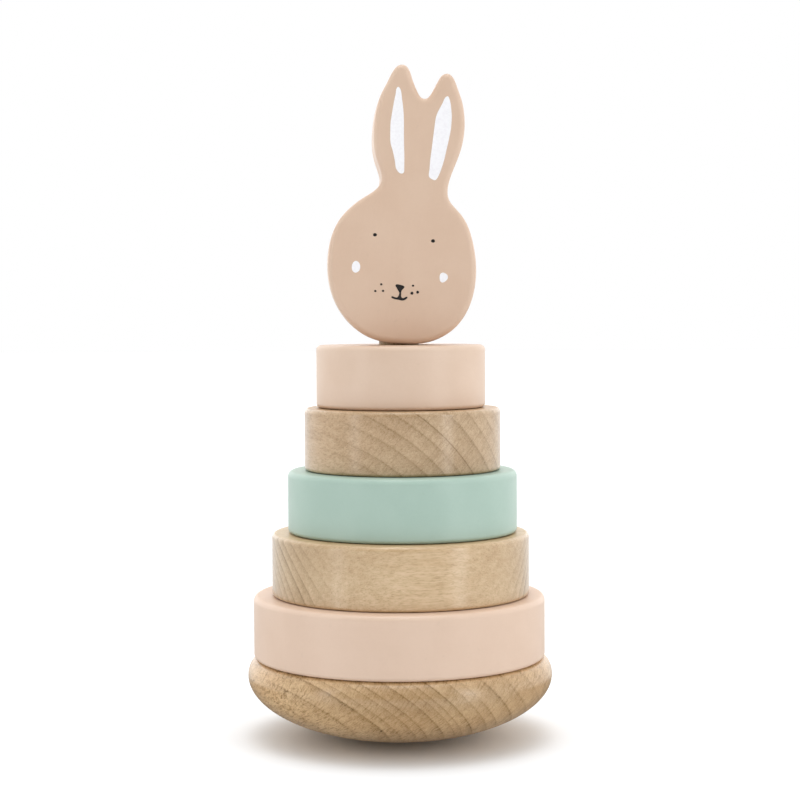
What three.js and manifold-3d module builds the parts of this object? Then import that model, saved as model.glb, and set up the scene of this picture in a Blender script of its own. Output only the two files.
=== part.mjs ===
// Wooden stacking ring toy: a rocking base with a fixed upright post, five loose
// rings of falling diameter, and a flat rabbit head that caps the post.
//
// Units are millimetres and +Z is up. The origin is the centre of the small flat
// under the base, where the toy meets the table. The rabbit looks along -Y.

import * as THREE from "three";
import { mergeVertices } from "three/addons/utils/BufferGeometryUtils.js";
import Module from "manifold-3d";

const wasm = await Module();
wasm.setup();

// ---- driving dimensions ----------------------------------------------------

const SEGMENTS = 60; // facets round every turned piece

// Base: the underside is half an ellipsoid of revolution, with a small sanded
// flat at its lowest point. A shallow shoulder rolls in above the widest line.
const BASE_RADIUS = 50;
const BASE_BELLY_HEIGHT = 20.5; // from the table to the widest line
const BASE_HEIGHT = 26.1;
const BASE_TOP_RADIUS = 45.8;
const BASE_FOOT_RADIUS = 8; // sanded flat under the base

// Post: a straight dowel glued into a blind hole in the base.
const POST_RADIUS = 6.5;
const POST_SOCKET_RADIUS = 6.6;
const POST_SOCKET_FLOOR = 10;
const POST_BOTTOM = 10.2;
const POST_TOP = 143.7;
const POST_CHAMFER = 1.2;

// Rings, from the bottom up. They stand one on another, with a hair of room
// between the faces, and hang loosely round the post, each a little off centre. The
// lower rim (under) is eased less than the upper one (over).
const RING_PITCH = 20.44;
const RING_THICKNESS = 20.3;
const RING_BORE_RADIUS = 8;
const RING_BORE_ROUNDING = 1.2;
const RINGS = [
  { name: "ring_1_pink", radius: 47.8, offset: -0.2, under: 1.2, over: 1.7, paint: "pink" },
  { name: "ring_2_natural", radius: 42.2, offset: 0.3, under: 1.0, over: 1.5, paint: "beech" },
  { name: "ring_3_mint", radius: 37.55, offset: 1.0, under: 1.3, over: 1.9, paint: "mint" },
  { name: "ring_4_natural", radius: 32.1, offset: 1.1, under: 1.0, over: 1.5, paint: "beech" },
  { name: "ring_5_pink", radius: 27.65, offset: 0.6, under: 1.3, over: 1.7, paint: "pink" },
];

// Head: a plate sawn to a rabbit's outline, with every edge rounded over and a
// blind hole drilled up from below, so that it bottoms out on the post's end.
const HEAD_BOTTOM = 128.65;
const HEAD_THICKNESS = 20;
const HEAD_EDGE_ROUNDING = 1.9;
const HEAD_YAW_DEG = 3;
const HEAD_BORE_RADIUS = 6.8;
const HEAD_BORE_TOP = 143.8;

// The outline seen from the front: x to the right, then height above the chin.
const HEAD_OUTLINE = [
  [4.24, 0], [7.92, 0.29], [11.2, 1.16], [14.37, 2.63], [17.16, 4.57], [19.47, 6.92],
  [21.43, 9.81], [22.97, 13.17], [24.05, 16.97], [24.65, 21.07], [24.72, 25.37], [24.27, 29.84],
  [23.32, 34.34], [22.07, 37.98], [20.48, 40.87], [18.02, 43.76], [16.29, 45.94], [15.64, 47.82],
  [15.66, 50.21], [16.44, 53.41], [18.41, 58.38], [19.98, 62.7], [20.85, 66.66], [21.17, 70.69],
  [20.94, 74.68], [20.16, 78.55], [18.77, 82.51], [17.22, 85.86], [16.24, 86.65], [15.03, 86.78],
  [13.9, 86.23], [12.61, 84.35], [10.1, 79.96], [9.09, 78.97], [8.01, 78.78], [7, 79.31],
  [5.96, 80.94], [4.18, 85.56], [2.92, 88.65], [1.97, 89.47], [0.72, 89.65], [-0.59, 89.12],
  [-1.81, 87.75], [-3.75, 84.08], [-5.87, 80], [-7.02, 76.49], [-7.86, 72.07], [-8.22, 67.49],
  [-8.08, 63.29], [-7.4, 59.86], [-6.04, 55.63], [-5.74, 53.36], [-6.18, 51.64], [-7.38, 50],
  [-9.46, 48.45], [-13.06, 46.2], [-16.53, 43.34], [-18.86, 40.8], [-20.68, 37.87], [-21.93, 34.72],
  [-22.79, 30.81], [-23.17, 26.53], [-23.02, 22.39], [-22.35, 18.4], [-21.16, 14.69], [-19.48, 11.28],
  [-17.31, 8.17], [-14.71, 5.47], [-11.81, 3.27], [-8.84, 1.73], [-5.77, 0.84], [-0.65, 0.25],
];

// ---- finishes ----------------------------------------------------------------

const MATERIALS = {
  beech: new THREE.MeshStandardMaterial({ color: 0xcba678, roughness: 0.55, metalness: 0 }),
  pink: new THREE.MeshStandardMaterial({ color: 0xe6c7b4, roughness: 0.5, metalness: 0 }),
  mint: new THREE.MeshStandardMaterial({ color: 0xafcdbd, roughness: 0.5, metalness: 0 }),
  rose: new THREE.MeshStandardMaterial({ color: 0xd9bba5, roughness: 0.5, metalness: 0 }),
};

// ---- helpers -------------------------------------------------------------------

// A quarter of an ellipse from angle a to b in degrees, as (radius, height) points.
function arc(cx, cy, rx, ry, a, b, steps) {
  const points = [];
  for (let i = 0; i <= steps; i++) {
    const t = THREE.MathUtils.degToRad(a + ((b - a) * i) / steps);
    points.push(new THREE.Vector2(cx + rx * Math.cos(t), cy + ry * Math.sin(t)));
  }
  return points;
}

// A profile of (radius, height) points turned about +Z.
function turned(profile) {
  return new THREE.LatheGeometry(profile, SEGMENTS).rotateX(Math.PI / 2);
}

// A geometry as a manifold solid, and back.
function solid(geometry) {
  const bare = geometry.index ? geometry.toNonIndexed() : geometry.clone();
  bare.deleteAttribute("normal");
  bare.deleteAttribute("uv");
  const merged = mergeVertices(bare, 1e-4);
  const index = merged.index.array;
  const triangles = [];
  for (let i = 0; i < index.length; i += 3) {
    const [a, b, c] = [index[i], index[i + 1], index[i + 2]];
    if (a !== b && b !== c && c !== a) triangles.push(a, b, c); // none folded flat at the axis
  }
  return new wasm.Manifold(
    new wasm.Mesh({
      numProp: 3,
      vertProperties: merged.attributes.position.array,
      triVerts: new Uint32Array(triangles),
    }),
  );
}

function geometryOf(manifold) {
  const mesh = manifold.getMesh();
  const geometry = new THREE.BufferGeometry();
  geometry.setAttribute(
    "position",
    new THREE.BufferAttribute(new Float32Array(mesh.vertProperties), 3),
  );
  geometry.setIndex(new THREE.BufferAttribute(new Uint32Array(mesh.triVerts), 1));
  geometry.computeVertexNormals();
  return geometry;
}

function piece(name, geometry, material) {
  const mesh = new THREE.Mesh(geometry, material);
  mesh.name = name;
  return mesh;
}

// ---- pieces ----------------------------------------------------------------------

// The rocking base, with the post's blind hole in its flat top.
function baseGeometry() {
  const footAngle = THREE.MathUtils.radToDeg(
    Math.acos(BASE_FOOT_RADIUS / BASE_RADIUS),
  );
  const belly = arc(0, BASE_BELLY_HEIGHT, BASE_RADIUS, BASE_BELLY_HEIGHT, -footAngle, 0, 10);
  const foot = belly[0].y; // the sanded flat takes the tip off the ellipse
  const scale = BASE_BELLY_HEIGHT / (BASE_BELLY_HEIGHT - foot);
  for (const p of belly) p.y = BASE_BELLY_HEIGHT - (BASE_BELLY_HEIGHT - p.y) * scale;
  const shoulder = arc(
    BASE_TOP_RADIUS,
    BASE_BELLY_HEIGHT,
    BASE_RADIUS - BASE_TOP_RADIUS,
    BASE_HEIGHT - BASE_BELLY_HEIGHT,
    0,
    90,
    4,
  );
  return turned([
    new THREE.Vector2(0, 0),
    ...belly,
    ...shoulder.slice(1),
    new THREE.Vector2(POST_SOCKET_RADIUS, BASE_HEIGHT),
    new THREE.Vector2(POST_SOCKET_RADIUS, POST_SOCKET_FLOOR),
    new THREE.Vector2(0, POST_SOCKET_FLOOR),
  ]);
}

// The post, chamfered at both ends.
function postGeometry() {
  return turned([
    new THREE.Vector2(0, POST_BOTTOM),
    new THREE.Vector2(POST_RADIUS - 0.6, POST_BOTTOM),
    new THREE.Vector2(POST_RADIUS, POST_BOTTOM + 0.6),
    new THREE.Vector2(POST_RADIUS, POST_TOP - POST_CHAMFER),
    new THREE.Vector2(POST_RADIUS - POST_CHAMFER, POST_TOP),
    new THREE.Vector2(0, POST_TOP),
  ]);
}

// One ring, standing on z = 0, with rounded rims and a rounded bore mouth.
function ringGeometry(radius, under, over) {
  const h = RING_THICKNESS;
  const b = RING_BORE_RADIUS;
  const c = RING_BORE_ROUNDING;
  const profile = [
    ...arc(radius - under, under, under, under, -90, 0, 2),
    ...arc(radius - over, h - over, over, over, 0, 90, 2),
    ...arc(b + c, h - c, c, c, 90, 180, 1),
    ...arc(b + c, c, c, c, 180, 270, 1),
  ];
  profile.push(profile[0].clone());
  return turned(profile);
}

// The head plate in its own frame: x to the right, z up, chin on z = 0, and
// its thickness centred on y = 0. The drilled hole runs up from the chin.
function headGeometry() {
  const curve = new THREE.CatmullRomCurve3(
    HEAD_OUTLINE.map(([x, z]) => new THREE.Vector3(x, z, 0)),
    true,
    "centripetal",
  );
  const points = curve.getPoints(HEAD_OUTLINE.length * 2).slice(0, -1);
  const shape = new THREE.Shape(points.map((p) => new THREE.Vector2(p.x, p.y)));
  const plate = new THREE.ExtrudeGeometry(shape, {
    depth: HEAD_THICKNESS - 2 * HEAD_EDGE_ROUNDING,
    bevelEnabled: true,
    bevelThickness: HEAD_EDGE_ROUNDING,
    bevelSize: HEAD_EDGE_ROUNDING,
    bevelOffset: -HEAD_EDGE_ROUNDING,
    bevelSegments: 2,
    curveSegments: 1,
  });
  plate.translate(0, 0, -(HEAD_THICKNESS / 2 - HEAD_EDGE_ROUNDING));
  plate.rotateX(Math.PI / 2);
  const depth = HEAD_BORE_TOP - HEAD_BOTTOM;
  const drill = turned([
    new THREE.Vector2(0, -5),
    new THREE.Vector2(HEAD_BORE_RADIUS, -5),
    new THREE.Vector2(HEAD_BORE_RADIUS, depth),
    new THREE.Vector2(0, depth),
  ]);
  return geometryOf(solid(plate).subtract(solid(drill)));
}

// ---- the toy ------------------------------------------------------------------------

const toy = new THREE.Group();

toy.add(piece("rocker_base", baseGeometry(), MATERIALS.beech));
toy.add(piece("center_post", postGeometry(), MATERIALS.beech));

RINGS.forEach(({ name, radius, offset, under, over, paint }, i) => {
  const ring = piece(name, ringGeometry(radius, under, over), MATERIALS[paint]);
  ring.position.set(
    offset,
    0,
    BASE_HEIGHT + RING_PITCH * (i + 1) - RING_THICKNESS,
  );
  toy.add(ring);
});

const head = piece("rabbit_head", headGeometry(), MATERIALS.rose);
head.position.set(0, 0, HEAD_BOTTOM);
head.rotation.z = THREE.MathUtils.degToRad(HEAD_YAW_DEG);
toy.add(head);

export default toy;
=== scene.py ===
import math

import bmesh
import bpy
import numpy as np
from mathutils import Matrix, Vector
from mathutils.geometry import delaunay_2d_cdt


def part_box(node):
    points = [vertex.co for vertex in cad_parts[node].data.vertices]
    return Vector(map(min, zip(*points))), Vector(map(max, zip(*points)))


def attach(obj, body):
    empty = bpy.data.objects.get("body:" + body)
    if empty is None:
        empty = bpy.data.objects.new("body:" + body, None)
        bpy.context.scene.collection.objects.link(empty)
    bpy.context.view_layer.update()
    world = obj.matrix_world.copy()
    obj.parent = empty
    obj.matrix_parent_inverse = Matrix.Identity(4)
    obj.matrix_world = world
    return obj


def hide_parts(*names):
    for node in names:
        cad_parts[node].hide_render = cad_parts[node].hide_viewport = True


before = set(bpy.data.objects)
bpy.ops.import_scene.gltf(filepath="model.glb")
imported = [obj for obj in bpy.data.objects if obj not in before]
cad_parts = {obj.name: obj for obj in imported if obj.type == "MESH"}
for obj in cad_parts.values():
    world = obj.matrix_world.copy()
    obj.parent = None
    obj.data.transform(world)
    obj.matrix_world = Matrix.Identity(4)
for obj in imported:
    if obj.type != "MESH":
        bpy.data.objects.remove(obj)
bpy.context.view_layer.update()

MM = 0.001
scene = bpy.context.scene


# ---------------------------------------------------------------------------
# Mesh helpers. Everything is worked out in millimetres, in the row frame, and
# stored in metres.
# ---------------------------------------------------------------------------

def arc(cx, cy, rx, ry, a, b, steps):
    """Points on an ellipse quarter, angles in degrees, ends included."""
    t = np.radians(np.linspace(a, b, steps + 1))
    return [(cx + rx * math.cos(k), cy + ry * math.sin(k)) for k in t]


def make_object(name, verts, faces, smooth=True):
    mesh = bpy.data.meshes.new(name)
    mesh.from_pydata([tuple(float(c) * MM for c in v) for v in verts], [], faces)
    mesh.validate()
    mesh.update()
    for poly in mesh.polygons:
        poly.use_smooth = smooth
    obj = bpy.data.objects.new(name, mesh)
    scene.collection.objects.link(obj)
    return obj


def recalc_outward(obj):
    bm = bmesh.new()
    bm.from_mesh(obj.data)
    bmesh.ops.recalc_face_normals(bm, faces=bm.faces)
    bm.to_mesh(obj.data)
    bm.free()
    obj.data.update()


def lathe(name, profile, segments, centre=(0.0, 0.0), closed=False):
    """Turns a (radius, height) profile about a vertical axis. A closed profile makes a ring;
    an open one starts and ends on the axis."""
    verts, faces, rows = [], [], []
    for r, z in profile:
        if r < 1e-6:
            rows.append([len(verts)])
            verts.append((centre[0], centre[1], z))
            continue
        row = []
        for k in range(segments):
            a = 2 * math.pi * k / segments
            row.append(len(verts))
            verts.append((centre[0] + r * math.sin(a), centre[1] - r * math.cos(a), z))
        rows.append(row)
    pairs = list(zip(rows, rows[1:]))
    if closed:
        pairs.append((rows[-1], rows[0]))
    for lower, upper in pairs:
        for k in range(segments):
            n = (k + 1) % segments
            if len(lower) == 1 and len(upper) == 1:
                continue
            if len(lower) == 1:
                faces.append((lower[0], upper[n], upper[k]))
            elif len(upper) == 1:
                faces.append((lower[k], lower[n], upper[0]))
            else:
                faces.append((lower[k], lower[n], upper[n], upper[k]))
    obj = make_object(name, verts, faces)
    recalc_outward(obj)
    return obj


def periodic_spline(points, samples):
    """A C2 closed cubic spline through the points, resampled evenly by arc length."""
    p = np.asarray(points, float)
    n = len(p)
    step = np.hypot(*(np.roll(p, -1, axis=0) - p).T)
    h = step
    a = np.zeros((n, n))
    rhs = np.zeros((n, 2))
    for i in range(n):
        hm, hp = h[i - 1], h[i]
        a[i, (i - 1) % n] = hm
        a[i, i] = 2 * (hm + hp)
        a[i, (i + 1) % n] = hp
        rhs[i] = 6 * ((p[(i + 1) % n] - p[i]) / hp - (p[i] - p[i - 1]) / hm)
    m = np.linalg.solve(a, rhs)
    fine = []
    for i in range(n):
        j = (i + 1) % n
        for t in np.linspace(0, 1, 40, endpoint=False):
            x = t * h[i]
            w = h[i] - x
            fine.append(
                m[i] * w ** 3 / (6 * h[i]) + m[j] * x ** 3 / (6 * h[i])
                + (p[i] / h[i] - m[i] * h[i] / 6) * w + (p[j] / h[i] - m[j] * h[i] / 6) * x
            )
    fine = np.array(fine)
    closed = np.vstack([fine, fine[:1]])
    s = np.r_[0, np.cumsum(np.hypot(*np.diff(closed, axis=0).T))]
    even = np.linspace(0, s[-1], samples, endpoint=False)
    return np.column_stack([np.interp(even, s, closed[:, 0]), np.interp(even, s, closed[:, 1])])


def outward_normals(outline):
    """Unit outward normals of a counter-clockwise outline."""
    tangent = np.roll(outline, -2, axis=0) - np.roll(outline, 2, axis=0)
    tangent /= np.hypot(*tangent.T)[:, None]
    return np.column_stack([tangent[:, 1], -tangent[:, 0]])


def counter_clockwise(outline):
    x, y = outline[:, 0], outline[:, 1]
    area = 0.5 * np.sum(x * np.roll(y, -1) - y * np.roll(x, -1))
    return outline if area > 0 else outline[::-1].copy()


def triangulate(outline, spacing):
    """Well-shaped triangles inside a closed outline: (points, triangles), outline points first."""
    lo, hi = outline.min(0), outline.max(0)
    nxt = np.roll(outline, -1, axis=0)
    inner = []
    rows = int((hi[1] - lo[1]) / (spacing * 0.866)) + 1
    for i in range(rows):
        y = lo[1] + (i + 0.5) * spacing * 0.866
        for j in range(int((hi[0] - lo[0]) / spacing) + 1):
            q = np.array([lo[0] + (j + (0.25 if i % 2 else 0.75)) * spacing, y])
            crosses = (outline[:, 1] > y) != (nxt[:, 1] > y)
            xs = outline[:, 0] + (y - outline[:, 1]) * (nxt[:, 0] - outline[:, 0]) / np.where(
                nxt[:, 1] == outline[:, 1], 1e-9, nxt[:, 1] - outline[:, 1])
            if np.count_nonzero(crosses & (xs > q[0])) % 2 and np.hypot(*(outline - q).T).min() > 0.7 * spacing:
                inner.append(q)
    pts = [Vector((float(x), float(y))) for x, y in list(outline) + inner]
    n = len(outline)
    out = delaunay_2d_cdt(pts, [], [list(range(n))], 1, 1e-7)
    source = [o[0] if o else None for o in out[3]]
    return np.array([tuple(v) for v in out[0]]), out[2], source


# ---------------------------------------------------------------------------
# Material helpers: a thin layer over node trees.
# ---------------------------------------------------------------------------

def srgb(r, g, b):
    """sRGB 0-255 to linear."""
    out = []
    for c in (r, g, b):
        c /= 255.0
        out.append(c / 12.92 if c <= 0.04045 else ((c + 0.055) / 1.055) ** 2.4)
    return (*out, 1.0)


class Tree:
    def __init__(self, name):
        self.material = bpy.data.materials.new(name)
        self.material.use_nodes = True
        self.nodes = self.material.node_tree.nodes
        self.links = self.material.node_tree.links
        self.nodes.clear()

    def put(self, socket, value):
        if isinstance(value, bpy.types.NodeSocket):
            self.links.new(value, socket)
        elif value is not None:
            socket.default_value = value

    def math(self, op, a, b=None, c=None, clamp=False):
        n = self.nodes.new("ShaderNodeMath")
        n.operation = op
        n.use_clamp = clamp
        for socket, value in zip(n.inputs, (a, b, c)):
            self.put(socket, value)
        return n.outputs[0]

    def vec(self, op, a, b=None, out=0, scale=None):
        n = self.nodes.new("ShaderNodeVectorMath")
        n.operation = op
        self.put(n.inputs[0], a)
        if b is not None:
            self.put(n.inputs[1], b)
        if scale is not None:
            self.put(n.inputs["Scale"], scale)
        return n.outputs[out]

    def dot(self, a, b):
        return self.vec("DOT_PRODUCT", a, b, out="Value")

    def combine(self, x, y, z):
        n = self.nodes.new("ShaderNodeCombineXYZ")
        for socket, value in zip(n.inputs, (x, y, z)):
            self.put(socket, value)
        return n.outputs[0]

    def noise(self, vector, scale=1.0, detail=2.0, rough=0.5, distortion=0.0):
        n = self.nodes.new("ShaderNodeTexNoise")
        n.noise_dimensions = "3D"
        self.put(n.inputs["Vector"], vector)
        self.put(n.inputs["Scale"], scale)
        self.put(n.inputs["Detail"], detail)
        self.put(n.inputs["Roughness"], rough)
        self.put(n.inputs["Distortion"], distortion)
        return n.outputs["Fac"]

    def step(self, value, low, high, to_low=0.0, to_high=1.0):
        """A smooth step from to_low to to_high as value goes from low to high."""
        n = self.nodes.new("ShaderNodeMapRange")
        n.interpolation_type = "SMOOTHSTEP"
        for socket, v in zip(n.inputs, (value, low, high, to_low, to_high)):
            self.put(socket, v)
        return n.outputs[0]

    def remap(self, value, low, high, to_low=0.0, to_high=1.0, clamp=True):
        n = self.nodes.new("ShaderNodeMapRange")
        n.clamp = clamp
        for socket, v in zip(n.inputs, (value, low, high, to_low, to_high)):
            self.put(socket, v)
        return n.outputs[0]

    def mix(self, factor, a, b):
        n = self.nodes.new("ShaderNodeMix")
        n.data_type = "RGBA"
        self.put(n.inputs[0], factor)
        self.put(n.inputs[6], a)
        self.put(n.inputs[7], b)
        return n.outputs[2]

    def scale_colour(self, colour, factor):
        """Multiplies a colour by a number."""
        return self.vec("SCALE", colour, scale=factor)

    def curve(self, value, points):
        """A float curve through (x, y) points in 0..1, straight between them and past the ends."""
        n = self.nodes.new("ShaderNodeFloatCurve")
        n.mapping.use_clip = False
        n.mapping.extend = "EXTRAPOLATED"
        c = n.mapping.curves[0]
        while len(c.points) > 2:
            c.points.remove(c.points[1])
        c.points[0].location = points[0]
        c.points[1].location = points[-1]
        for x, y in points[1:-1]:
            c.points.new(x, y)
        for p in c.points:
            p.handle_type = "VECTOR"
        n.mapping.update()
        self.put(n.inputs["Value"], value)
        self.put(n.inputs["Factor"], 1.0)
        return n.outputs[0]

    def finish(self, colour, roughness, height=None, coat=0.0, coat_roughness=0.2, specular=0.5, sheen=0.0):
        bsdf = self.nodes.new("ShaderNodeBsdfPrincipled")
        out = self.nodes.new("ShaderNodeOutputMaterial")
        self.put(bsdf.inputs["Base Color"], colour)
        self.put(bsdf.inputs["Roughness"], roughness)
        self.put(bsdf.inputs["Coat Weight"], coat)
        self.put(bsdf.inputs["Coat Roughness"], coat_roughness)
        self.put(bsdf.inputs["Specular IOR Level"], specular)
        if sheen:
            self.put(bsdf.inputs["Sheen Weight"], sheen)
        if height is not None:
            bump = self.nodes.new("ShaderNodeBump")
            self.put(bump.inputs["Strength"], 1.0)
            self.put(bump.inputs["Distance"], MM)
            self.put(bump.inputs["Height"], height)
            self.links.new(bump.outputs[0], bsdf.inputs["Normal"])
        self.links.new(bsdf.outputs[0], out.inputs[0])
        return self.material

    def position(self):
        """Object coordinates in millimetres."""
        n = self.nodes.new("ShaderNodeTexCoord")
        return self.vec("SCALE", n.outputs["Object"], scale=1000.0)


def unit(v):
    v = np.asarray(v, float)
    return v / np.linalg.norm(v)


def beech(name, azimuth, tilt, pith, growth, light, dark, lines=(0.4, 0.75), faint=0.3, end_shade=0.9,
          fleck=0.16, grain=1.0, split=None, seed=0.0, varnish=1.0, gloss=0.20, ray_size=(2.1, 0.52), bent=0.9, hatch=0.07, deep=1.0, blotch=0.14, mottle=1.0, reach=1.0, curl=None):
    """Varnished beech, solid in all three directions. The fibres run along (azimuth, tilt);
    pith is the tree's centre line in the cross-section plane, in millimetres. growth lists the
    growth lines that show as (radius from the pith, depth of the dark edge), from the pith
    outwards. The lines are clear where the fibres meet the surface end on, and faint where they
    run along it: lines is the range of that change."""
    t = Tree(name)
    a, e = math.radians(azimuth), math.radians(tilt)
    fibre = np.array([math.sin(a) * math.cos(e), -math.cos(a) * math.cos(e), math.sin(e)])
    if abs(fibre[2]) > 0.99:
        side = np.array([1.0, 0.0, 0.0])
    else:
        side = np.array([math.cos(a), math.sin(a), 0.0])
    up = np.cross(fibre, side)
    if up[2] < 0:
        up = -up

    def noise(u_scale, v_scale, w_scale, detail=2.0, rough=0.5, shift=(0.0, 0.0, 0.0)):
        q = t.combine(t.math("MULTIPLY", u, u_scale / reach), t.math("MULTIPLY", v, v_scale), t.math("MULTIPLY", w, w_scale))
        return t.noise(t.vec("ADD", q, tuple(seed * 1.7 + k for k in shift)), 1.0, detail, rough)

    p = t.position()
    u = t.dot(p, tuple(fibre))
    v = t.math("SUBTRACT", t.dot(p, tuple(side)), pith[0])
    w = t.math("SUBTRACT", t.dot(p, tuple(up)), pith[1])

    # distance from the pith, with a slow wander of the growth lines
    wander = t.math("MULTIPLY", t.math("SUBTRACT", noise(0.012, 0.035, 0.035, 1.0, 0.4), 0.5), 1.0)
    r = t.math("ADD", t.math("SQRT", t.math("ADD", t.math("MULTIPLY", v, v), t.math("MULTIPLY", w, w))), wander)
    theta = t.math("ARCTAN2", w, v)

    # growth-ring phase: whole numbers at the dark lines
    radii, depths = [g[0] for g in growth], [g[1] for g in growth]
    r0, r1 = radii[0], radii[-1]
    count = len(radii) - 1
    along_r = t.math("DIVIDE", t.math("SUBTRACT", r, r0), r1 - r0)
    phase = t.math("MULTIPLY", t.curve(along_r, [((x - r0) / (r1 - r0), i / count) for i, x in enumerate(radii)]), float(count))
    depth = t.curve(t.math("MINIMUM", t.math("MAXIMUM", along_r, 0.0), 1.0), [((x - r0) / (r1 - r0), d) for x, d in growth])
    uneven = t.noise(t.combine(t.math("MULTIPLY", r, 0.045), seed, 0.0), 1.0, 1.0, 0.5)
    outside = t.math("ADD", t.step(phase, count, count + 3.0), t.step(phase, 0.0, -3.0))
    phase = t.math("ADD", phase, t.math("MULTIPLY", t.math("MULTIPLY", t.math("SUBTRACT", uneven, 0.5), 4.0), outside))
    ragged = noise(0.25, 1.1, 1.1, 2.0, 0.6)
    phase = t.math("ADD", phase, t.math("MULTIPLY", t.math("SUBTRACT", ragged, 0.5), 0.12))
    frac = t.math("FRACT", phase)
    late = t.math("MULTIPLY", t.step(frac, 0.15, 1.0), t.step(frac, 1.0, 0.96))
    off_line = t.math("ABSOLUTE", t.math("SUBTRACT", t.math("FRACT", t.math("ADD", phase, 0.56)), 0.5))
    thin = t.step(off_line, 0.15, 0.0)
    number = t.math("FLOOR", phase)
    tone = t.noise(t.combine(t.math("MULTIPLY", number, 3.71), seed, 2.0), 1.0, 0.0)
    patchy = t.step(noise(0.03, 0.06, 0.06, 2.0, 0.5, (9.0, 0.0, 4.0)), 0.30, 0.60, 0.55, 1.0)

    # how much this bit of surface shows end grain, and how much of it is a bark face
    geometry = t.nodes.new("ShaderNodeNewGeometry")
    transform = t.nodes.new("ShaderNodeVectorTransform")
    transform.vector_type = "NORMAL"
    transform.convert_from, transform.convert_to = "WORLD", "OBJECT"
    t.links.new(geometry.outputs["Normal"], transform.inputs[0])
    normal = transform.outputs[0]
    facing = t.math("ABSOLUTE", t.dot(normal, tuple(fibre)))
    end = t.math("POWER", facing, 1.6)
    along = t.math("SUBTRACT", 1.0, end)
    radial = t.math("DIVIDE", t.math("ADD", t.math("MULTIPLY", t.dot(normal, tuple(side)), v), t.math("MULTIPLY", t.dot(normal, tuple(up)), w)), r)
    bark = t.math("MULTIPLY", radial, radial)
    clear = t.math("MULTIPLY", t.math("MULTIPLY", t.step(facing, lines[0], lines[1], faint, 1.0), patchy), t.math("MULTIPLY", depth, deep))

    # streaks run along the fibres, pores are short dark dashes, rays are spindles across them
    streak = noise(0.05, 0.80, 0.80, 3.0, 0.65, (3.0, 1.0, 0.0))
    hair = noise(0.22, 2.3, 2.3, 2.0, 0.65, (1.0, 7.0, 2.0))
    pore = noise(0.55, 3.0, 3.0, 2.0, 0.6, (0.0, 2.0, 8.0))
    pores = t.step(pore, 0.50, 0.68)
    arc_length = t.math("MULTIPLY", theta, 0.5 * (r0 + r1))
    bend = t.math("MULTIPLY", t.math("SUBTRACT", noise(0.35, 0.35, 0.35, 1.0, 0.5, (5.0, 5.0, 1.0)), 0.5), bent)
    ray = t.noise(t.combine(t.math("MULTIPLY", r, 0.11), t.math("MULTIPLY", t.math("ADD", arc_length, bend), ray_size[0]), t.math("MULTIPLY", u, ray_size[1])), 1.0, 1.6, 0.6)
    rays = t.step(ray, 0.49, 0.66)
    cloud = noise(0.018, 0.05, 0.05, 2.0, 0.5, (0.0, 3.0, 1.0))
    speck = t.noise(p, 1.9, 2.5, 0.75)
    figure = noise(0.08, 0.5, 0.5, 3.0, 0.6, (4.0, 0.0, 6.0))

    factor = t.math("ADD", t.math("MULTIPLY", t.step(cloud, 0.3, 0.7), 0.5), t.math("MULTIPLY_ADD", t.math("SUBTRACT", t.step(streak, 0.3, 0.7), 0.5), 0.5 * mottle, 0.25), clamp=True)
    colour = t.mix(factor, light, dark)
    shade = t.math("SUBTRACT", 1.0, t.math("MULTIPLY", t.math("MULTIPLY", late, clear), 0.75))
    shade = t.math("SUBTRACT", shade, t.math("MULTIPLY", t.math("MULTIPLY", thin, clear), 0.60))
    shade = t.math("ADD", shade, t.math("MULTIPLY", t.math("SUBTRACT", tone, 0.5), 0.08))
    shade = t.math("SUBTRACT", shade, t.math("MULTIPLY", t.math("MULTIPLY", rays, t.math("MULTIPLY_ADD", bark, 0.5, 0.5)), t.math("MULTIPLY_ADD", along, fleck - hatch, hatch)))
    shade = t.math("SUBTRACT", shade, t.math("MULTIPLY", pores, t.math("MULTIPLY_ADD", along, 0.02 * grain, 0.12 * grain)))
    shade = t.math("ADD", shade, t.math("MULTIPLY", t.math("SUBTRACT", hair, 0.5), t.math("MULTIPLY_ADD", along, 0.14 * grain, 0.10 * grain)))
    shade = t.math("ADD", shade, t.math("MULTIPLY", t.math("SUBTRACT", speck, 0.5), t.math("MULTIPLY_ADD", end, (0.34 - blotch) * grain, blotch * grain)))
    shade = t.math("ADD", shade, t.math("MULTIPLY", t.math("SUBTRACT", figure, 0.5), 0.20 * mottle))
    if curl is not None:  # a patch of curly grain: short dark strokes that lean to and fro
        centre, spread, strength = curl
        offset = t.vec("SUBTRACT", p, centre)
        patch = t.step(t.math("SQRT", t.dot(offset, offset)), spread, spread * 0.35)
        out = math.hypot(centre[0], centre[1])
        across = t.dot(p, (-centre[1] / out, centre[0] / out, 0.0))
        lift = t.dot(p, (0.0, 0.0, 1.0))
        lean = t.math("MULTIPLY", t.math("SUBTRACT", t.noise(p, 0.42, 1.0, 0.5), 0.5), 7.0)
        stroke = t.noise(t.combine(t.math("ADD", across, lean), t.math("MULTIPLY", lift, 0.55), seed), 0.95, 1.5, 0.55)
        shade = t.math("SUBTRACT", shade, t.math("MULTIPLY", t.math("MULTIPLY", t.step(stroke, 0.50, 0.66), patch), strength))
        shade = t.math("ADD", shade, t.math("MULTIPLY", t.math("MULTIPLY", t.step(stroke, 0.50, 0.36), patch), strength * 0.45))
    around = t.math("MULTIPLY_ADD", end, end_shade - 1.0, 1.0)
    if split is not None:  # a fine drying check that follows one growth line on the end grain
        near = t.math("DIVIDE", t.math("SUBTRACT", t.math("SUBTRACT", r, wander), split), 0.16)
        gap = t.math("EXPONENT", t.math("MULTIPLY", t.math("MULTIPLY", near, near), -1.0))
        gap = t.math("MULTIPLY", gap, t.step(facing, 0.5, 0.7))
        shade = t.math("MULTIPLY", shade, t.math("SUBTRACT", 1.0, t.math("MULTIPLY", gap, 0.30)))
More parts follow.
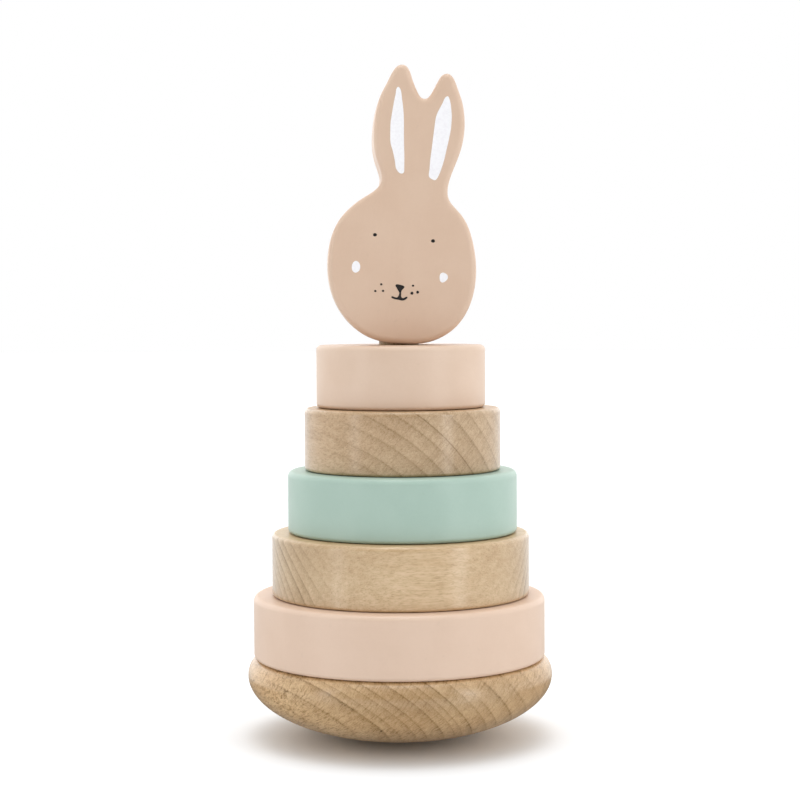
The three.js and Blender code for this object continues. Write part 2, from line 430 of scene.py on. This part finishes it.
    # the dark parts of the figure are warmer than the light ones
    shade = t.math("MAXIMUM", shade, 0.05)
    warm = t.combine(t.math("POWER", shade, 0.85), shade, t.math("POWER", shade, 1.4))
    colour = t.scale_colour(t.vec("MULTIPLY", colour, warm), around)

    height = t.math("MULTIPLY", t.math("MULTIPLY", pores, -0.012), t.math("MULTIPLY_ADD", end, 1.2, 0.6))
    height = t.math("ADD", height, t.math("MULTIPLY", t.math("MULTIPLY", rays, along), -0.006))
    height = t.math("ADD", height, t.math("MULTIPLY", t.math("MULTIPLY", late, clear), 0.03))
    height = t.math("ADD", height, t.math("MULTIPLY", speck, t.math("MULTIPLY_ADD", end, 0.030, 0.010)))
    if split is not None:
        height = t.math("SUBTRACT", height, t.math("MULTIPLY", gap, 0.05))
    rough = t.math("ADD", t.math("MULTIPLY", streak, 0.10), t.math("MULTIPLY_ADD", end, 0.08, 0.50))
    level = t.math("ABSOLUTE", t.dot(normal, (0.0, 0.0, 1.0)))
    coat = t.step(level, 0.80, 0.98, varnish, varnish * 0.25)  # the flat faces are less polished
    return t.finish(colour, rough, height, coat=coat, coat_roughness=gloss, specular=0.25)


def paint(name, base, tint, seed=0.0, rough=0.42, peel=0.006, fibre=(1.0, 0.0, 0.0), coat=0.12):
    """Satin water-based paint on turned wood: a slight mottle, a soft orange peel, and the grain of the
    wood just telegraphing through."""
    t = Tree(name)
    p = t.vec("ADD", t.position(), (seed * 13.0, seed * 7.0, 0.0))
    mottle = t.noise(p, 0.07, 3.0, 0.55)
    fine = t.noise(p, 1.3, 2.0, 0.6)
    f = unit(fibre)
    u = t.dot(p, tuple(f))
    # grain under the paint: stretched along the fibres
    rest = t.vec("SUBTRACT", p, t.vec("SCALE", tuple(f), scale=t.math("MULTIPLY", u, 0.93)))
    grain = t.noise(rest, 1.6, 2.0, 0.6)
    factor = t.math("ADD", t.math("MULTIPLY", t.step(mottle, 0.3, 0.7), 0.65), t.math("MULTIPLY", grain, 0.35))
    colour = t.mix(factor, base, tint)
    speck = t.step(t.noise(p, 0.55, 0.0, 0.5), 0.80, 0.84)  # a rare dust nib under the paint
    shade = t.math("MULTIPLY_ADD", t.math("SUBTRACT", fine, 0.5), 0.035, 1.0)
    shade = t.math("SUBTRACT", shade, t.math("MULTIPLY", speck, 0.025))
    colour = t.scale_colour(colour, shade)
    height = t.math("MULTIPLY", t.noise(p, 0.9, 1.0, 0.5), peel * 1.6)
    height = t.math("ADD", height, t.math("MULTIPLY", fine, peel * 0.8))
    height = t.math("ADD", height, t.math("MULTIPLY", grain, peel * 0.9))
    height = t.math("ADD", height, t.math("MULTIPLY", speck, 0.004))
    r = t.math("ADD", t.math("MULTIPLY", grain, 0.08), t.math("MULTIPLY_ADD", mottle, 0.06, rough - 0.07))
    geometry = t.nodes.new("ShaderNodeNewGeometry")
    level = t.math("ABSOLUTE", t.dot(geometry.outputs["Normal"], (0.0, 0.0, 1.0)))
    dull = t.step(level, 0.80, 0.99, 1.0, 0.3)  # the flat faces are duller than the rims
    return t.finish(colour, r, height, coat=t.math("MULTIPLY", dull, coat), coat_roughness=0.28,
                    specular=t.math("MULTIPLY", dull, 0.42))


def ink(name, base, tint, rough=0.5, ragged=0.0):
    """Printed or brushed colour, a little uneven where it is thin."""
    t = Tree(name)
    p = t.position()
    thin = t.noise(p, 1.1, 3.0, 0.6)
    colour = t.mix(t.step(thin, 0.35, 0.75), base, tint)
    height = t.math("MULTIPLY", t.noise(p, 3.0, 2.0, 0.6), 0.006)
    r = t.math("MULTIPLY_ADD", thin, 0.14, rough - 0.07)
    return t.finish(colour, r, height, specular=0.4)


# ---------------------------------------------------------------------------
# Pieces
# ---------------------------------------------------------------------------

SEG = 256


def mm_box(node):
    lo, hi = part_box(node)
    return np.array(lo) / MM, np.array(hi) / MM


# --- the rocking base -------------------------------------------------------

lo, hi = mm_box("rocker_base")
BASE_R = (hi[0] - lo[0]) / 2
BASE_TOP = hi[2]
BELLY = 20.5
SHOULDER_R = BASE_R - 4.2
FOOT_R = 8.0
SOCKET_R, SOCKET_FLOOR = 6.6, 10.0

foot_angle = math.degrees(math.acos(FOOT_R / BASE_R))
belly = arc(0, BELLY, BASE_R, BELLY, -foot_angle, 0, 56)
foot_z = belly[0][1]
belly = [(r, BELLY - (BELLY - z) * BELLY / (BELLY - foot_z)) for r, z in belly]
shoulder = arc(SHOULDER_R, BELLY, BASE_R - SHOULDER_R, BASE_TOP - BELLY, 0, 90, 22)
profile = [(0, 0), (4.0, 0.0), (7.2, 0.0), (7.6, 0.004), (7.9, 0.012)] + belly[1:] + shoulder[1:]
profile += [(SHOULDER_R - 0.4, BASE_TOP), (30, BASE_TOP), (12, BASE_TOP), (SOCKET_R + 0.9, BASE_TOP), (SOCKET_R + 0.5, BASE_TOP)]
profile += arc(SOCKET_R + 0.5, BASE_TOP - 0.5, 0.5, 0.5, 90, 180, 5)[1:]
profile += [(SOCKET_R, BASE_TOP - 0.9), (SOCKET_R, 18), (SOCKET_R, SOCKET_FLOOR + 0.6), (SOCKET_R, SOCKET_FLOOR + 0.2)]
profile += [(SOCKET_R - 0.2, SOCKET_FLOOR), (SOCKET_R - 0.6, SOCKET_FLOOR), (3, SOCKET_FLOOR), (0, SOCKET_FLOOR)]
base_piece = lathe("turned_base", profile, SEG)

# --- the post ---------------------------------------------------------------

lo, hi = mm_box("center_post")
POST_R = (hi[0] - lo[0]) / 2
z0, z1 = lo[2], hi[2]
profile = [(0, z0), (5, z0), (POST_R - 0.9, z0), (POST_R - 0.6, z0 + 0.02)]
profile += arc(POST_R - 0.6, z0 + 0.6, 0.6, 0.6, -80, 0, 5)
profile += [(POST_R, z0 + 1.0)] + [(POST_R, z) for z in np.linspace(z0 + 6, z1 - 6, 9)] + [(POST_R, z1 - 1.6)]
profile += arc(POST_R - 1.2, z1 - 1.2, 1.2, 1.2, 0, 90, 8)
profile += [(POST_R - 1.7, z1), (2.5, z1), (0, z1)]
post_piece = lathe("glued_post", profile, 128)

# --- the five rings ---------------------------------------------------------

RINGS = [
    # node, piece name, rounding of the lower rim, of the upper rim
    ("ring_1_pink", "largest_ring", 1.2, 1.7),
    ("ring_2_natural", "second_ring", 1.0, 1.5),
    ("ring_3_mint", "middle_ring", 1.3, 1.9),
    ("ring_4_natural", "fourth_ring", 1.0, 1.5),
    ("ring_5_pink", "smallest_ring", 1.3, 1.7),
]
BORE_R, BORE_ROUND = 8.0, 1.2
ring_pieces = {}
for node, name, under, over in RINGS:
    lo, hi = mm_box(node)
    radius = (hi[0] - lo[0]) / 2
    centre = ((hi[0] + lo[0]) / 2, (hi[1] + lo[1]) / 2)
    z0, z1 = lo[2], hi[2]
    outer_low = arc(radius - under, z0 + under, under, under, -90, 0, 10)
    outer_high = arc(radius - over, z1 - over, over, over, 0, 90, 10)
    bore_high = arc(BORE_R + BORE_ROUND, z1 - BORE_ROUND, BORE_ROUND, BORE_ROUND, 90, 180, 7)
    bore_low = arc(BORE_R + BORE_ROUND, z0 + BORE_ROUND, BORE_ROUND, BORE_ROUND, 180, 270, 7)
    gap = radius - over - (BORE_R + BORE_ROUND)
    ease = 0.25
    profile = [(radius - under - ease, z0)] + outer_low + [(radius, z0 + under + ease)]
    profile += [(radius, z) for z in np.linspace(z0 + 5, z1 - 5, 4)]
    profile += [(radius, z1 - over - ease)] + outer_high + [(radius - over - ease, z1)]
    profile += [(BORE_R + BORE_ROUND + gap * k, z1) for k in (0.66, 0.33)]
    profile += [(BORE_R + BORE_ROUND + ease, z1)] + bore_high + [(BORE_R, z1 - BORE_ROUND - ease), (BORE_R, (z0 + z1) / 2)]
    profile += [(BORE_R, z0 + BORE_ROUND + ease)] + bore_low + [(BORE_R + BORE_ROUND + ease, z0)]
    profile += [(BORE_R + BORE_ROUND + gap * k, z0) for k in (0.33, 0.66)]
    ring_pieces[node] = lathe(name, profile, SEG, centre, closed=True)

# --- the rabbit head --------------------------------------------------------

lo, hi = mm_box("rabbit_head")
HEAD_BOTTOM = lo[2]
HEAD_THICK = 20.0
HEAD_ROUND = 1.95
HEAD_YAW = math.radians(3)
BORE_HEAD_R, BORE_HEAD_TOP = 6.8, 143.8

# x to the right, then height above the chin
HEAD_OUTLINE = [
    (4.24, 0), (7.92, 0.29), (11.2, 1.16), (14.37, 2.63), (17.16, 4.57), (19.47, 6.92),
    (21.43, 9.81), (22.97, 13.17), (24.05, 16.97), (24.65, 21.07), (24.72, 25.37), (24.27, 29.84),
    (23.32, 34.34), (22.07, 37.98), (20.48, 40.87), (18.02, 43.76), (16.29, 45.94), (15.64, 47.82),
    (15.66, 50.21), (16.44, 53.41), (18.41, 58.38), (19.98, 62.7), (20.85, 66.66), (21.17, 70.69),
    (20.94, 74.68), (20.16, 78.55), (18.77, 82.51), (17.22, 85.86), (16.24, 86.65), (15.03, 86.78),
    (13.9, 86.23), (12.61, 84.35), (10.1, 79.96), (9.09, 78.97), (8.01, 78.78), (7, 79.31),
    (5.96, 80.94), (4.18, 85.56), (2.92, 88.65), (1.97, 89.47), (0.72, 89.65), (-0.59, 89.12),
    (-1.81, 87.75), (-3.75, 84.08), (-5.87, 80), (-7.02, 76.49), (-7.86, 72.07), (-8.22, 67.49),
    (-8.08, 63.29), (-7.4, 59.86), (-6.04, 55.63), (-5.74, 53.36), (-6.18, 51.64), (-7.38, 50),
    (-9.46, 48.45), (-13.06, 46.2), (-16.53, 43.34), (-18.86, 40.8), (-20.68, 37.87), (-21.93, 34.72),
    (-22.79, 30.81), (-23.17, 26.53), (-23.02, 22.39), (-22.35, 18.4), (-21.16, 14.69), (-19.48, 11.28),
    (-17.31, 8.17), (-14.71, 5.47), (-11.81, 3.27), (-8.84, 1.73), (-5.77, 0.84), (-0.65, 0.25),
]

head_line = counter_clockwise(periodic_spline(HEAD_OUTLINE, 440))
head_normals = outward_normals(head_line)


def head_point(x, y, z):
    """From the head's own frame to the row frame: turned by its yaw, chin at its height."""
    return (
        x * math.cos(HEAD_YAW) - y * math.sin(HEAD_YAW),
        x * math.sin(HEAD_YAW) + y * math.cos(HEAD_YAW),
        z + HEAD_BOTTOM,
    )


def inset(outline, normals, d):
    return outline - normals * d


def head_plate():
    half = HEAD_THICK / 2
    layers = []  # (inset, y), from the front face's edge round to the back face's edge
    steps = 9
    layers.append((HEAD_ROUND + 0.2, -half))
    for k in range(steps + 1):
        a = math.radians(90 * k / steps)
        layers.append((HEAD_ROUND * (1 - math.sin(a)), -half + HEAD_ROUND * (1 - math.cos(a))))
    layers.append((0.0, -half + HEAD_ROUND + 0.3))
    for y in (-half * 0.4, 0.0, half * 0.4):
        layers.append((0.0, y))
    layers.append((0.0, half - HEAD_ROUND - 0.3))
    for k in range(steps + 1):
        a = math.radians(90 - 90 * k / steps)
        layers.append((HEAD_ROUND * (1 - math.sin(a)), half - HEAD_ROUND * (1 - math.cos(a))))
    layers.append((HEAD_ROUND + 0.2, half))
    n = len(head_line)
    verts, faces = [], []
    for d, y in layers:
        for x, z in inset(head_line, head_normals, d):
            verts.append((x, y, z))
    for i in range(len(layers) - 1):
        for k in range(n):
            m = (k + 1) % n
            faces.append((i * n + k, i * n + m, (i + 1) * n + m, (i + 1) * n + k))
    edge = inset(head_line, head_normals, HEAD_ROUND + 0.2)
    pts, tris, source = triangulate(edge, 3.2)
    for layer, y in ((0, -half), (len(layers) - 1, half)):
        index = {}
        for i, (x, z) in enumerate(pts):
            if source[i] is not None and source[i] < n:
                index[i] = layer * n + source[i]
            else:
                index[i] = len(verts)
                verts.append((x, y, z))
        for tri in tris:
            f = [index[i] for i in tri]
            faces.append(f if layer else f[::-1])
    obj = make_object("rabbit_plate", [head_point(*v) for v in verts], faces)
    recalc_outward(obj)
    return obj


def drill(obj, x, y, radius, bottom, top):
    """Subtracts an upright drilled hole with a countersunk mouth and a drill-point end."""
    profile = [(0, bottom - 6), (radius + 0.6, bottom - 6), (radius + 0.6, bottom + 0.1), (radius, bottom + 0.75),
               (radius, top - 0.05), (0, top)]
    cutter = lathe("cutter", profile, 96, (x, y))
    mod = obj.modifiers.new("drill", "BOOLEAN")
    mod.operation = "DIFFERENCE"
    mod.solver = "EXACT"
    mod.object = cutter
    bpy.context.view_layer.update()
    dg = bpy.context.evaluated_depsgraph_get()
    mesh = bpy.data.meshes.new_from_object(obj.evaluated_get(dg), depsgraph=dg)
    obj.modifiers.clear()
    obj.data = mesh
    bpy.data.objects.remove(cutter)


head_piece = head_plate()
drill(head_piece, 0.0, 0.0, BORE_HEAD_R, HEAD_BOTTOM, BORE_HEAD_TOP)
for poly in head_piece.data.polygons:
    poly.use_smooth = True
head_piece.data.set_sharp_from_angle(angle=math.radians(32))


def mark(name, outlines, thickness=0.10, corner=0.08):
    """A flat printed mark on the head's front: a thin pad with softened edges, sunk a little
    into the plate. outlines are lists of (x, height above the chin)."""
    verts, faces = [], []
    half = HEAD_THICK / 2
    for raw in outlines:
        line = counter_clockwise(np.asarray(raw, float))
        normals = outward_normals(line)
        n = len(line)
        start = len(verts)
        layers = [(0.0, half - 0.25), (0.0, half + thickness * 0.35), (corner * 0.35, half + thickness * 0.8), (corner, half + thickness)]
        for d, y in layers:
            for x, z in inset(line, normals, d):
                verts.append((x, -y, z))
        for i in range(len(layers) - 1):
            for k in range(n):
                m = (k + 1) % n
                faces.append((start + i * n + k, start + i * n + m, start + (i + 1) * n + m, start + (i + 1) * n + k))
        faces.append(tuple(start + (len(layers) - 1) * n + k for k in range(n)))
        faces.append(tuple(start + k for k in reversed(range(n))))
    obj = make_object(name, [head_point(*v) for v in verts], faces)
    recalc_outward(obj)
    for poly in obj.data.polygons:
        poly.use_smooth = len(poly.vertices) == 4
    return obj


def blob(x, z, rx, rz, tilt=0.0, bumps=(), n=40):
    """A hand-made oval: bumps are (order, size, phase) wobbles of its edge."""
    out = []
    c, s = math.cos(math.radians(tilt)), math.sin(math.radians(tilt))
    for k in range(n):
        a = 2 * math.pi * k / n
        g = 1 + sum(size * math.cos(order * a + phase) for order, size, phase in bumps)
        px, pz = rx * g * math.cos(a), rz * g * math.sin(a)
        out.append((x + px * c - pz * s, z + px * s + pz * c))
    return out


# White inner ears, one long brush shape in each
EAR_LEFT = [
    (-0.32, 82.4), (0.22, 81.9), (0.62, 80.7), (0.86, 78.8), (1.11, 76.7), (1.34, 74.2), (1.44, 71.5), (1.44, 68.3),
    (1.44, 65.1), (1.5, 61.9), (1.53, 58.8), (1.46, 56.0), (1.16, 54.85), (0.31, 54.75), (-0.62, 55.5), (-1.16, 56.4),
    (-1.42, 58.1), (-1.82, 60.3), (-2.28, 62.4), (-2.82, 64.2), (-2.96, 66.3), (-2.92, 69.3), (-2.76, 71.6),
    (-2.4, 73.8), (-1.97, 76.2), (-1.52, 78.6), (-1.1, 80.6), (-0.82, 81.95),
]
EAR_RIGHT = [
    (15.56, 79.4), (16.08, 78.6), (16.45, 77.2), (16.68, 75.2), (16.82, 73.2), (16.74, 71.1), (16.5, 68.8),
    (16.06, 66.4), (15.54, 64.1), (14.98, 61.8), (14.42, 59.4), (13.76, 57.2), (13.02, 55.1), (12.26, 53.5),
    (11.42, 52.6), (10.5, 52.85), (9.52, 53.6), (9.5, 55.4), (9.82, 58.7), (10.24, 61.9), (10.66, 65.1), (11.0, 67.7),
    (11.36, 70.4), (11.74, 72.7), (12.26, 74.2), (13.18, 75.9), (14.06, 77.6), (14.9, 79.1),
]
# Nose, stem and smile in one brush shape
MUZZLE = [
    (-1.5, 18.84), (-1.36, 19.14), (-0.9, 19.28), (-0.2, 19.15), (1.02, 18.8), (1.38, 18.46), (1.28, 18.1), (0.94, 17.73),
    (0.54, 17.25), (0.36, 16.75), (0.34, 16.1), (0.4, 15.2), (0.8, 14.86), (1.42, 15.0), (2.08, 15.26), (2.37, 15.14),
    (2.24, 14.78), (1.66, 14.3), (0.92, 14.05), (0.18, 14.1), (-0.62, 14.29), (-1.54, 14.42), (-2.26, 14.66),
    (-2.79, 15.0), (-2.86, 15.22), (-2.62, 15.4), (-2.12, 15.3), (-1.52, 15.1), (-0.94, 15.06), (-0.68, 15.34),
    (-0.4, 15.85), (-0.3, 16.5), (-0.48, 17.05), (-0.84, 17.62), (-1.16, 18.25),
]

white_marks = [
    mark("inner_ear_left", [periodic_spline(EAR_LEFT, 160)], 0.09),
    mark("inner_ear_right", [periodic_spline(EAR_RIGHT, 160)], 0.09),
    mark("cheek_left", [blob(-14.18, 24.9, 1.36, 1.9, -6, ((3, 0.02, 0.4), (2, 0.02, 1.0)))], 0.09),
    mark("cheek_right", [blob(13.98, 21.4, 1.3, 1.62, -14, ((3, 0.07, -0.9), (2, 0.03, 0.3)))], 0.09),
]
black_marks = [
    mark("eye_left", [blob(-8.0, 35.17, 0.62, 0.55, 4, ((3, 0.03, 0.5),))], 0.08, corner=0.06),
    mark("eye_right", [blob(10.66, 33.13, 0.62, 0.56, -8, ((3, 0.03, 1.5),))], 0.08, corner=0.06),
    mark("nose_and_mouth", [periodic_spline(MUZZLE, 240)], 0.08, corner=0.05),
    mark("whisker_dots_left", [
        blob(-6.08, 19.26, 0.37, 0.36, 0, ((3, 0.04, 0.2),), 24),
        blob(-8.0, 17.13, 0.4, 0.34, 5, ((3, 0.04, 1.2),), 24),
        blob(-5.5, 17.17, 0.38, 0.34, -6, ((3, 0.04, 2.2),), 24),
    ], 0.08, corner=0.05),
    mark("whisker_dots_right", [
        blob(4.17, 18.8, 0.38, 0.34, 0, ((3, 0.04, 0.9),), 24),
        blob(3.81, 16.38, 0.48, 0.49, 0, ((3, 0.04, 2.0),), 24),
        blob(5.65, 16.71, 0.46, 0.47, 0, ((3, 0.04, 0.1),), 24),
    ], 0.08, corner=0.05),
]

# ---------------------------------------------------------------------------
# Finishes
# ---------------------------------------------------------------------------

def tinted(colour, gains):
    return tuple(c * g for c, g in zip(colour[:3], gains)) + (1.0,)


BEECH_LIGHT = srgb(212, 182, 142)
BEECH_DARK = srgb(192, 158, 116)
BASE_TINT = (1.085, 1.047, 0.988)
RING_2_TINT = (1.007, 1.046, 1.098)
RING_4_TINT = (0.893, 0.893, 0.940)
PAINT_TINTS = {"ring_1": (0.834, 0.803, 0.750), "ring_3": (0.714, 0.757, 0.746), "ring_5": (0.819, 0.807, 0.753), "head": (0.828, 0.805, 0.769)}

mat_base = beech("beech_base_finish", 16.6, 6.4, (-159.6, -165.5),
                 [(213.0, 0.15), (217.6, 0.16), (222.7, 0.24), (224.9, 0.14), (227.9, 0.13), (230.1, 0.20), (233.9, 0.22),
                  (236.6, 0.14), (238.4, 0.19), (241.2, 0.28), (245.4, 0.16), (248.3, 0.14), (253.4, 0.22), (259.0, 0.10)],
                 tinted(BEECH_LIGHT, BASE_TINT), tinted(BEECH_DARK, BASE_TINT), lines=(0.15, 0.5), faint=0.25, fleck=0.42,
                 grain=1.6, seed=1.0, hatch=0.25, end_shade=0.72, deep=1.4, ray_size=(2.0, 0.42), varnish=0.8,
                 curl=((-35.0, -33.0, BASE_TOP - 2.5), 17.0, 0.26))
mat_post = beech("beech_post_finish", 0.0, 90.0, (34.0, 21.0),
                 [(30.0, 0.12), (32.6, 0.15), (35.0, 0.12), (37.9, 0.15), (40.2, 0.10), (43.1, 0.14), (45.6, 0.12)],
                 BEECH_LIGHT, BEECH_DARK, seed=2.0, varnish=0.3)
mat_ring2 = beech("beech_ring_2_finish", -78.6, 0.2, (-33.0, 14.5),
                  [(51.9, 0.12), (55.3, 0.12), (58.5, 0.12), (61.4, 0.16), (65.3, 0.20), (68.2, 0.14), (71.6, 0.12), (74.8, 0.08), (78.6, 0.08)],
                  tinted(BEECH_LIGHT, RING_2_TINT), tinted(BEECH_DARK, RING_2_TINT), lines=(0.62, 0.88), faint=0.08,
                  fleck=0.12, seed=3.0, ray_size=(3.0, 0.55), bent=0.12, grain=1.35, deep=1.9, end_shade=0.84, blotch=0.04, mottle=1.1, reach=2.0)
mat_ring4 = beech("beech_ring_4_finish", 28.0, -1.3, (-81.7, 13.6),
                  [(92.6, 0.14), (97.0, 0.16), (100.9, 0.18), (106.1, 0.20), (110.5, 0.22), (114.8, 0.24), (118.6, 0.24),
                   (125.0, 0.24), (130.0, 0.18), (134.5, 0.14)],
                  tinted(BEECH_LIGHT, RING_4_TINT), tinted(BEECH_DARK, RING_4_TINT), lines=(0.2, 0.6), faint=0.3,
                  fleck=0.18, split=118.35, seed=4.0, hatch=0.26, grain=1.7, deep=0.95)
mat_pink_1 = paint("pink_ring_1_finish", tinted(srgb(238, 213, 196), PAINT_TINTS["ring_1"]), tinted(srgb(233, 207, 189), PAINT_TINTS["ring_1"]), seed=1.0)
mat_pink_5 = paint("pink_ring_5_finish", tinted(srgb(236, 210, 193), PAINT_TINTS["ring_5"]), tinted(srgb(231, 203, 184), PAINT_TINTS["ring_5"]), seed=5.0, fibre=(0.4, 0.9, 0.0))
mat_mint = paint("mint_finish", tinted(srgb(196, 217, 204), PAINT_TINTS["ring_3"]), tinted(srgb(189, 211, 198), PAINT_TINTS["ring_3"]), seed=3.0, fibre=(0.9, 0.4, 0.0))
mat_head = paint("rose_beige_finish", tinted(srgb(232, 205, 184), PAINT_TINTS["head"]), tinted(srgb(227, 198, 176), PAINT_TINTS["head"]), seed=7.0, fibre=(0.1, 0.0, 1.0), rough=0.46)
mat_white = ink("white_paint_finish", srgb(244, 243, 245), srgb(238, 236, 239), rough=0.5)
mat_black = ink("black_ink_finish", srgb(26, 20, 19), srgb(38, 30, 28), rough=0.45)


def finish_piece(obj, material, body, slot, *nodes):
    obj.data.materials.clear()
    obj.data.materials.append(material)
    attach(obj, body)
    if nodes:
        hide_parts(*nodes)


finish_piece(base_piece, mat_base, "base", "beech_base", "rocker_base")
finish_piece(post_piece, mat_post, "base", "beech_post", "center_post")
finish_piece(ring_pieces["ring_1_pink"], mat_pink_1, "ring_1", "pink_paint_ring_1", "ring_1_pink")
finish_piece(ring_pieces["ring_2_natural"], mat_ring2, "ring_2", "beech_ring_2", "ring_2_natural")
finish_piece(ring_pieces["ring_3_mint"], mat_mint, "ring_3", "mint_paint", "ring_3_mint")
finish_piece(ring_pieces["ring_4_natural"], mat_ring4, "ring_4", "beech_ring_4", "ring_4_natural")
finish_piece(ring_pieces["ring_5_pink"], mat_pink_5, "ring_5", "pink_paint_ring_5", "ring_5_pink")
finish_piece(head_piece, mat_head, "head", "rose_paint_head", "rabbit_head")
for obj in white_marks:
    finish_piece(obj, mat_white, "head", "rose_paint_head")
for obj in black_marks:
    finish_piece(obj, mat_black, "head", "rose_paint_head")

# ---------------------------------------------------------------------------
# Studio: pale floor, white surround, soft boxes, camera
# ---------------------------------------------------------------------------

scene.view_settings.view_transform = "Standard"
scene.view_settings.look = "None"
scene.view_settings.exposure = 0.0
scene.view_settings.gamma = 1.0

# The light: a white tent round the toy, bright straight overhead and behind, darkest beside
# the camera, with a tall soft strip on each side. Azimuth 0 is towards the camera and grows
# towards the right of the picture; each list runs from -180 degrees in steps of 20.
TENT = {
    8.0: [1.62, 1.64, 1.53, 1.32, 1.14, 0.87, 0.48, 0.11, 0.00, 0.00, 0.00, 0.24, 0.80, 1.34, 1.55, 1.47, 1.45, 1.53],
    35.33: [1.58, 1.57, 1.39, 1.21, 1.12, 1.00, 0.80, 0.62, 0.48, 0.40, 0.41, 0.58, 0.86, 1.09, 1.13, 1.09, 1.21, 1.43],
    62.67: [1.43, 1.39, 1.22, 1.09, 1.09, 1.12, 1.16, 1.21, 1.24, 1.21, 1.15, 1.09, 1.05, 1.01, 0.97, 0.98, 1.08, 1.28],
}
ZENITH = 4.99
STRIPS = [(-57.0, 10.5, 3.6, 1.7), (53.0, 11.0, 4.9, 2.6)]  # azimuth, half width, strength above and below the floor line

world = bpy.data.worlds.new("studio")
scene.world = world
world.use_nodes = True
sky = Tree.__new__(Tree)
sky.nodes, sky.links = world.node_tree.nodes, world.node_tree.links
sky.nodes.clear()
direction = sky.nodes.new("ShaderNodeTexCoord").outputs["Generated"]
split_xyz = sky.nodes.new("ShaderNodeSeparateXYZ")
sky.links.new(direction, split_xyz.inputs[0])
dx, dy, dz = split_xyz.outputs
azimuth = sky.math("DEGREES", sky.math("ARCTAN2", dx, sky.math("MULTIPLY", dy, -1.0)))
elevation = sky.math("DEGREES", sky.math("ARCSINE", dz))
turn = sky.math("DIVIDE", sky.math("ADD", azimuth, 180.0), 360.0)
FULL = 4.0  # the curves hold values between 0 and 1
heights = sorted(TENT)
rows = [sky.math("MULTIPLY", sky.curve(turn, [(i / 18, v / FULL) for i, v in enumerate(TENT[h] + TENT[h][:1])]), FULL) for h in heights]
rows.append(ZENITH)
heights.append(90.0)
glow = rows[0]
for low, high, h0, h1 in zip(rows, rows[1:], heights, heights[1:]):
    rise = sky.math("SUBTRACT", high, low)
    glow = sky.math("ADD", glow, sky.math("MULTIPLY", rise, sky.remap(elevation, h0, h1)))
# below the floor line, what a glossy side sees: the pale floor, darker close to the toy
beside = sky.remap(elevation, -12.0, -50.0, 1.1, 0.12)
behind = sky.remap(elevation, -8.0, -13.0, 1.1, 0.15)
below = sky.math("ADD", beside, sky.math("MULTIPLY", sky.math("SUBTRACT", behind, beside), sky.step(sky.math("ABSOLUTE", azimuth), 75.0, 110.0)))
under = sky.step(elevation, 1.0, -1.0)
glow = sky.math("ADD", sky.math("MULTIPLY", glow, sky.math("SUBTRACT", 1.0, under)), sky.math("MULTIPLY", below, under))
for centre, half, strength, low_strength in STRIPS:
    away = sky.math("ABSOLUTE", sky.math("SUBTRACT", azimuth, centre))
    power = sky.math("MULTIPLY", sky.step(elevation, 58.0, 12.0), sky.step(elevation, -1.0, 3.0, low_strength, strength))
    power = sky.math("MULTIPLY", power, sky.step(elevation, -30.0, -14.0))
    glow = sky.math("ADD", glow, sky.math("MULTIPLY", sky.step(away, half, half * 0.1), power))
seen = sky.nodes.new("ShaderNodeBackground")
seen.inputs["Color"].default_value = (1, 1, 1, 1)
seen.inputs["Strength"].default_value = 1.0
lit = sky.nodes.new("ShaderNodeBackground")
lit.inputs["Color"].default_value = (1, 1, 1, 1)
sky.links.new(glow, lit.inputs["Strength"])
both = sky.nodes.new("ShaderNodeMixShader")
sky.links.new(sky.nodes.new("ShaderNodeLightPath").outputs["Is Camera Ray"], both.inputs[0])
sky.links.new(lit.outputs[0], both.inputs[1])
sky.links.new(seen.outputs[0], both.inputs[2])
sky.links.new(both.outputs[0], sky.nodes.new("ShaderNodeOutputWorld").inputs[0])

floor_mesh = bpy.data.meshes.new("floor")
F = 6.0
floor_mesh.from_pydata([(-F, -F, 0), (F, -F, 0), (F, F, 0), (-F, F, 0)], [], [(0, 1, 2, 3)])
floor = bpy.data.objects.new("floor", floor_mesh)
floor.location = (0, 0, -0.0001)
scene.collection.objects.link(floor)
floor.visible_glossy = False  # the gloss sees the studio's own floor glow
ft = Tree("floor_finish")
floor_mesh.materials.append(ft.finish((0.875, 0.895, 0.915, 1.0), 0.9, specular=0.0))


camera_data = bpy.data.cameras.new("camera")
camera_data.sensor_width = 36.0
camera_data.lens = 83.893
camera_data.clip_start, camera_data.clip_end = 0.01, 50.0
camera_data.shift_x, camera_data.shift_y = -0.000625, 0.000625  # half a pixel
camera = bpy.data.objects.new("camera", camera_data)
camera.location = (0.00049, -0.61081, 0.13868)
camera.rotation_mode = "XYZ"
look = Matrix.Rotation(math.radians(90 - 2.6865), 4, "X") @ Matrix.Rotation(math.radians(-0.25), 4, "Z")
camera.rotation_euler = look.to_euler("XYZ")
scene.collection.objects.link(camera)
scene.camera = camera
